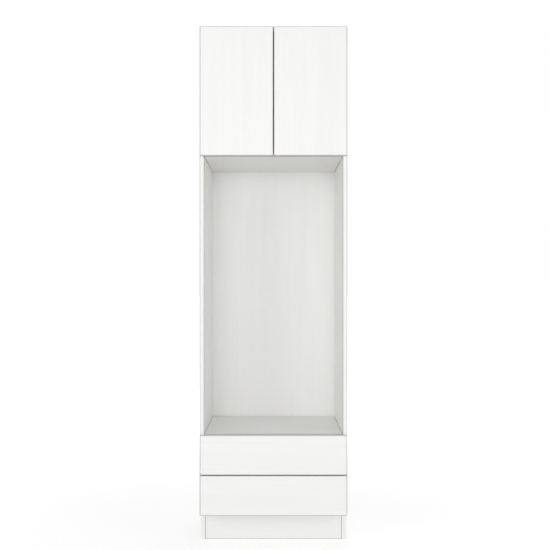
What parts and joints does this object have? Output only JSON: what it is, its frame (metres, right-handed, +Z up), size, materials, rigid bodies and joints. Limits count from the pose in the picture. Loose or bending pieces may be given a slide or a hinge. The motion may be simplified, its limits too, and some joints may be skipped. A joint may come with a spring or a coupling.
{
  "type": "tall oven housing unit",
  "caption": "Tall frameless kitchen cabinet: hinged cupboard doors above, open niche for built-in ovens, drawers on telescopic runners and a recessed toe kick below.",
  "frame": {"origin": "on the floor, at the centre of the footprint with the fronts included", "axes": "+Z up, -Y out of the fronts towards the user, +X to the right as seen from the front"},
  "size_m": [0.6, 0.58, 2.1],
  "materials": {
    "front_foil": "warm white woodgrain foil on fibreboard, satin",
    "board_melamine": "white melamine on particle board, satin",
    "back_board": "white lacquered thin fibreboard",
    "nickel": "nickel plated pressed steel",
    "zinc": "bright zinc plated rolled steel"
  },
  "bodies": {
    "carcass": {"adjustable_shelf": "board_melamine", "bottom_panel": "board_melamine", "cupboard_base": "board_melamine", "left_lower_hinge_arm": "nickel", "left_lower_hinge_plate": "nickel", "left_side_panel": "board_melamine", "left_upper_hinge_arm": "nickel", "left_upper_hinge_plate": "nickel", "lower_back_panel": "back_board", "lower_drawer_left_cabinet_member": "zinc", "lower_drawer_right_cabinet_member": "zinc", "lower_rear_rail": "board_melamine", "oven_back_panel": "back_board", "oven_shelf": "board_melamine", "rear_kick_rail": "board_melamine", "right_lower_hinge_arm": "nickel", "right_lower_hinge_plate": "nickel", "right_side_panel": "board_melamine", "right_upper_hinge_arm": "nickel", "right_upper_hinge_plate": "nickel", "shelf_pin_left_front": "nickel", "shelf_pin_left_rear": "nickel", "shelf_pin_right_front": "nickel", "shelf_pin_right_rear": "nickel", "toe_kick": "board_melamine", "top_panel": "board_melamine", "top_rear_rail": "board_melamine", "upper_back_panel": "back_board", "upper_drawer_left_cabinet_member": "zinc", "upper_drawer_right_cabinet_member": "zinc", "upper_rear_rail": "board_melamine"},
    "left_door_leaf": {"left_door": "front_foil", "left_lower_hinge_cup": "nickel", "left_upper_hinge_cup": "nickel"},
    "right_door_leaf": {"right_door": "front_foil", "right_lower_hinge_cup": "nickel", "right_upper_hinge_cup": "nickel"},
    "left_hinge_links": {"left_lower_hinge_link": "nickel", "left_upper_hinge_link": "nickel"},
    "right_hinge_links": {"right_lower_hinge_link": "nickel", "right_upper_hinge_link": "nickel"},
    "upper_drawer": {"upper_drawer_back": "board_melamine", "upper_drawer_bottom": "board_melamine", "upper_drawer_front": "front_foil", "upper_drawer_left_drawer_member": "zinc", "upper_drawer_left_side": "board_melamine", "upper_drawer_right_drawer_member": "zinc", "upper_drawer_right_side": "board_melamine"},
    "lower_drawer": {"lower_drawer_back": "board_melamine", "lower_drawer_bottom": "board_melamine", "lower_drawer_front": "front_foil", "lower_drawer_left_drawer_member": "zinc", "lower_drawer_left_side": "board_melamine", "lower_drawer_right_drawer_member": "zinc", "lower_drawer_right_side": "board_melamine"},
    "upper_middle_runners": {"upper_drawer_left_middle_member": "zinc", "upper_drawer_right_middle_member": "zinc"},
    "lower_middle_runners": {"lower_drawer_left_middle_member": "zinc", "lower_drawer_right_middle_member": "zinc"}
  },
  "joints": [
    {"name": "left_door_swing", "type": "hinge", "parent": "carcass", "child": "left_door_leaf", "pos_m": [-0.292, -0.2841, 1.83575], "axis": [0, 0, -1], "range_deg": [0, 95]},
    {"name": "right_door_swing", "type": "hinge", "parent": "carcass", "child": "right_door_leaf", "pos_m": [0.292, -0.2841, 1.83575], "axis": [0, 0, 1], "range_deg": [0, 95]},
    {"name": "left_link_turn", "type": "hinge", "parent": "carcass", "child": "left_hinge_links", "pos_m": [-0.264, -0.275, 1.83575], "axis": [0, 0, -1], "range_deg": [-25, 0]},
    {"name": "right_link_turn", "type": "hinge", "parent": "carcass", "child": "right_hinge_links", "pos_m": [0.264, -0.275, 1.83575], "axis": [0, 0, 1], "range_deg": [-25, 0]},
    {"name": "upper_drawer_slide", "type": "slide", "parent": "carcass", "child": "upper_drawer", "axis": [0, -1, 0], "range_m": [0, 0.49]},
    {"name": "lower_drawer_slide", "type": "slide", "parent": "carcass", "child": "lower_drawer", "axis": [0, -1, 0], "range_m": [0, 0.49]},
    {"name": "upper_runner_slide", "type": "slide", "parent": "carcass", "child": "upper_middle_runners", "axis": [0, -1, 0], "range_m": [0, 0.25]},
    {"name": "lower_runner_slide", "type": "slide", "parent": "carcass", "child": "lower_middle_runners", "axis": [0, -1, 0], "range_m": [0, 0.25]}
  ],
  "couplings": [
    {"joint": "left_link_turn", "follows": "left_door_swing", "ratio": -0.26},
    {"joint": "right_link_turn", "follows": "right_door_swing", "ratio": -0.26},
    {"joint": "upper_runner_slide", "follows": "upper_drawer_slide", "ratio": 0.5},
    {"joint": "lower_runner_slide", "follows": "lower_drawer_slide", "ratio": 0.5}
  ]
}
